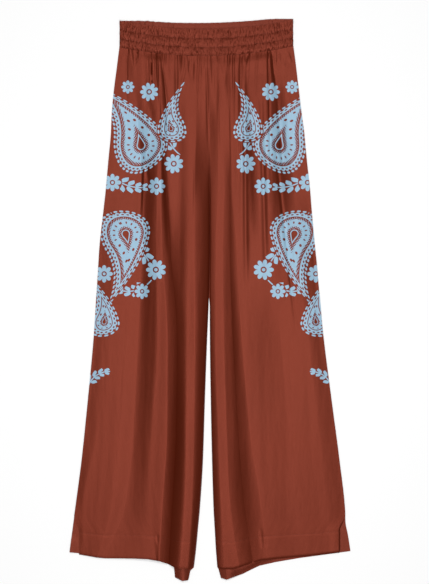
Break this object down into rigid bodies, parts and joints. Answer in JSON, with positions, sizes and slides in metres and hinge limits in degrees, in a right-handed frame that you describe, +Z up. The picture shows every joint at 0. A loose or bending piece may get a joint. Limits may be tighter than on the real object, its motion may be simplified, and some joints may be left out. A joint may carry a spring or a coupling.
{
  "type": "palazzo pants",
  "caption": "Wide-leg silk palazzo pants laid flat, with an elasticated ruched waistband, gathers below it and long soft folds.",
  "frame": {"origin": "middle of the laid garment's outline, on the surface it lies on", "axes": "+Y along the legs towards the waist, +Z up out of the front, +X towards the wearer's left leg"},
  "size_m": [0.5474, 1.0943, 0.015],
  "materials": {
    "silk_twill": "fine silk twill, soft sheen",
    "silk_twill_back": "fine silk twill, soft sheen",
    "silk_waistband": "ruched silk twill over elastic",
    "silk_waistband_inside": "smooth silk over elastic"
  },
  "bodies": {
    "root": {"front_right": "silk_twill", "front_left": "silk_twill", "back_right": "silk_twill_back", "back_left": "silk_twill_back", "waistband_front": "silk_waistband", "waistband_back": "silk_waistband_inside"}
  },
  "joints": []
}
